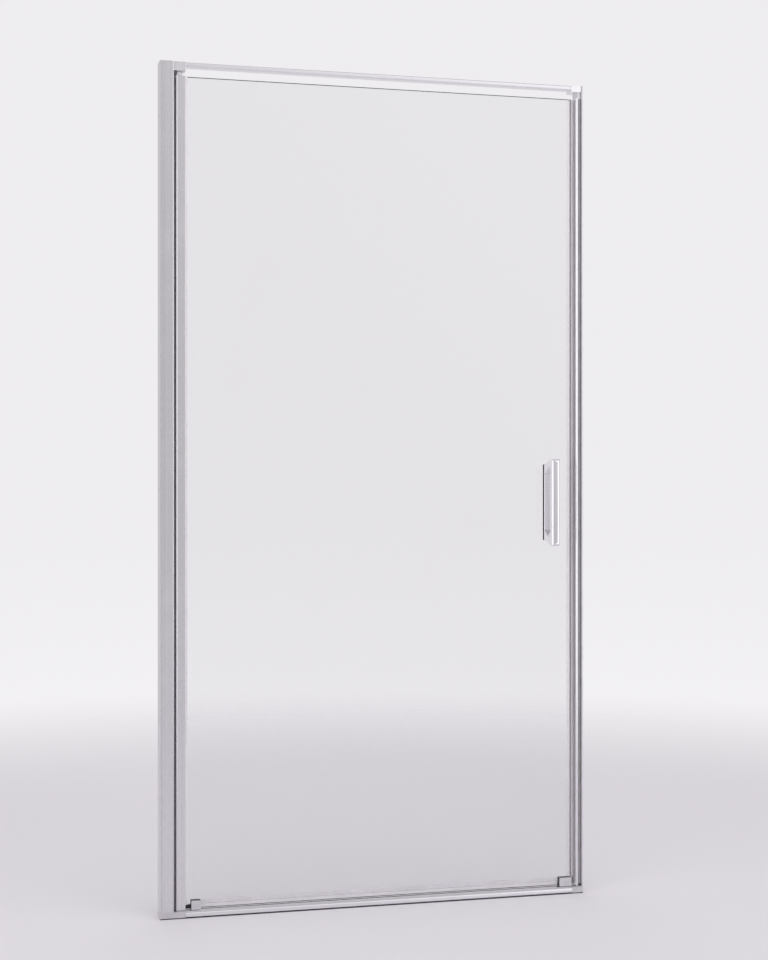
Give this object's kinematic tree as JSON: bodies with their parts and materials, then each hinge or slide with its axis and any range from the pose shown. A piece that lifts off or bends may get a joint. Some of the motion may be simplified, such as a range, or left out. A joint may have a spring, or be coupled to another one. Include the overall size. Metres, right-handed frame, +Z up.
{
  "type": "pivot shower door",
  "caption": "Framed pivot shower door for an alcove: one clear glass leaf that swings outwards on pivots in a slim bright metal frame, with a bar handle and a magnetic latch strip.",
  "frame": {"origin": "on the underside of the sill, in the middle of the door's width and of the frame's depth", "axes": "+X along the doorway from the hinge side to the latch side, +Y from the room into the shower, +Z up"},
  "size_m": [0.997, 0.0802, 1.9],
  "materials": {
    "satin_aluminium": "bright anodised extrusion",
    "polished_aluminium": "polished extrusion",
    "cast_silver": "cast block, satin silver",
    "silver_plastic": "moulded, silver",
    "dark_plastic": "moulded, dark grey",
    "grey_seal": "soft, pale grey",
    "clear_seal": "clear soft vinyl",
    "black_rubber": "soft, black",
    "magnet_strip": "flexible magnet",
    "acetal": "turned, white",
    "stainless_steel": "bright",
    "handle_chrome": "satin chrome",
    "clear_glass": "toughened, clear"
  },
  "bodies": {
    "frame": {"hinge_wall_channel": "satin_aluminium", "hinge_jamb": "satin_aluminium", "hinge_seal": "grey_seal", "latch_wall_channel": "satin_aluminium", "latch_jamb": "satin_aluminium", "strike_profile": "polished_aluminium", "strike_magnet": "magnet_strip", "strike_cover_strip": "dark_plastic", "header_rail": "satin_aluminium", "top_pivot_block": "cast_silver", "header_latch_block": "cast_silver", "sill": "satin_aluminium", "bottom_pivot_block": "cast_silver", "sill_latch_block": "cast_silver", "pivot_pins": "stainless_steel", "hinge_jamb_screws": "stainless_steel", "latch_jamb_screws": "stainless_steel", "top_block_screws": "stainless_steel"},
    "leaf": {"hinge_stile": "satin_aluminium", "drip_block_hinge_side": "silver_plastic", "drip_block_latch_side": "silver_plastic", "stile_inserts": "dark_plastic", "glazing_gasket_room_side": "grey_seal", "glazing_gasket_shower_side": "grey_seal", "door_seal": "clear_seal", "drip_seal": "clear_seal", "drip_corner_seal": "black_rubber", "handle_outer_pad": "black_rubber", "handle_inner_pad": "black_rubber", "door_magnet": "magnet_strip", "pivot_bushes": "acetal", "handle_screws": "stainless_steel", "handle_grip": "handle_chrome", "handle_base_plate": "handle_chrome", "handle_inner_plate": "handle_chrome", "door_glass": "clear_glass"}
  },
  "joints": [
    {"name": "leaf_pivot", "type": "hinge", "parent": "frame", "child": "leaf", "pos_m": [-0.4545, 0, 0.95], "axis": [0, 0, -1], "range_deg": [0, 90]}
  ]
}
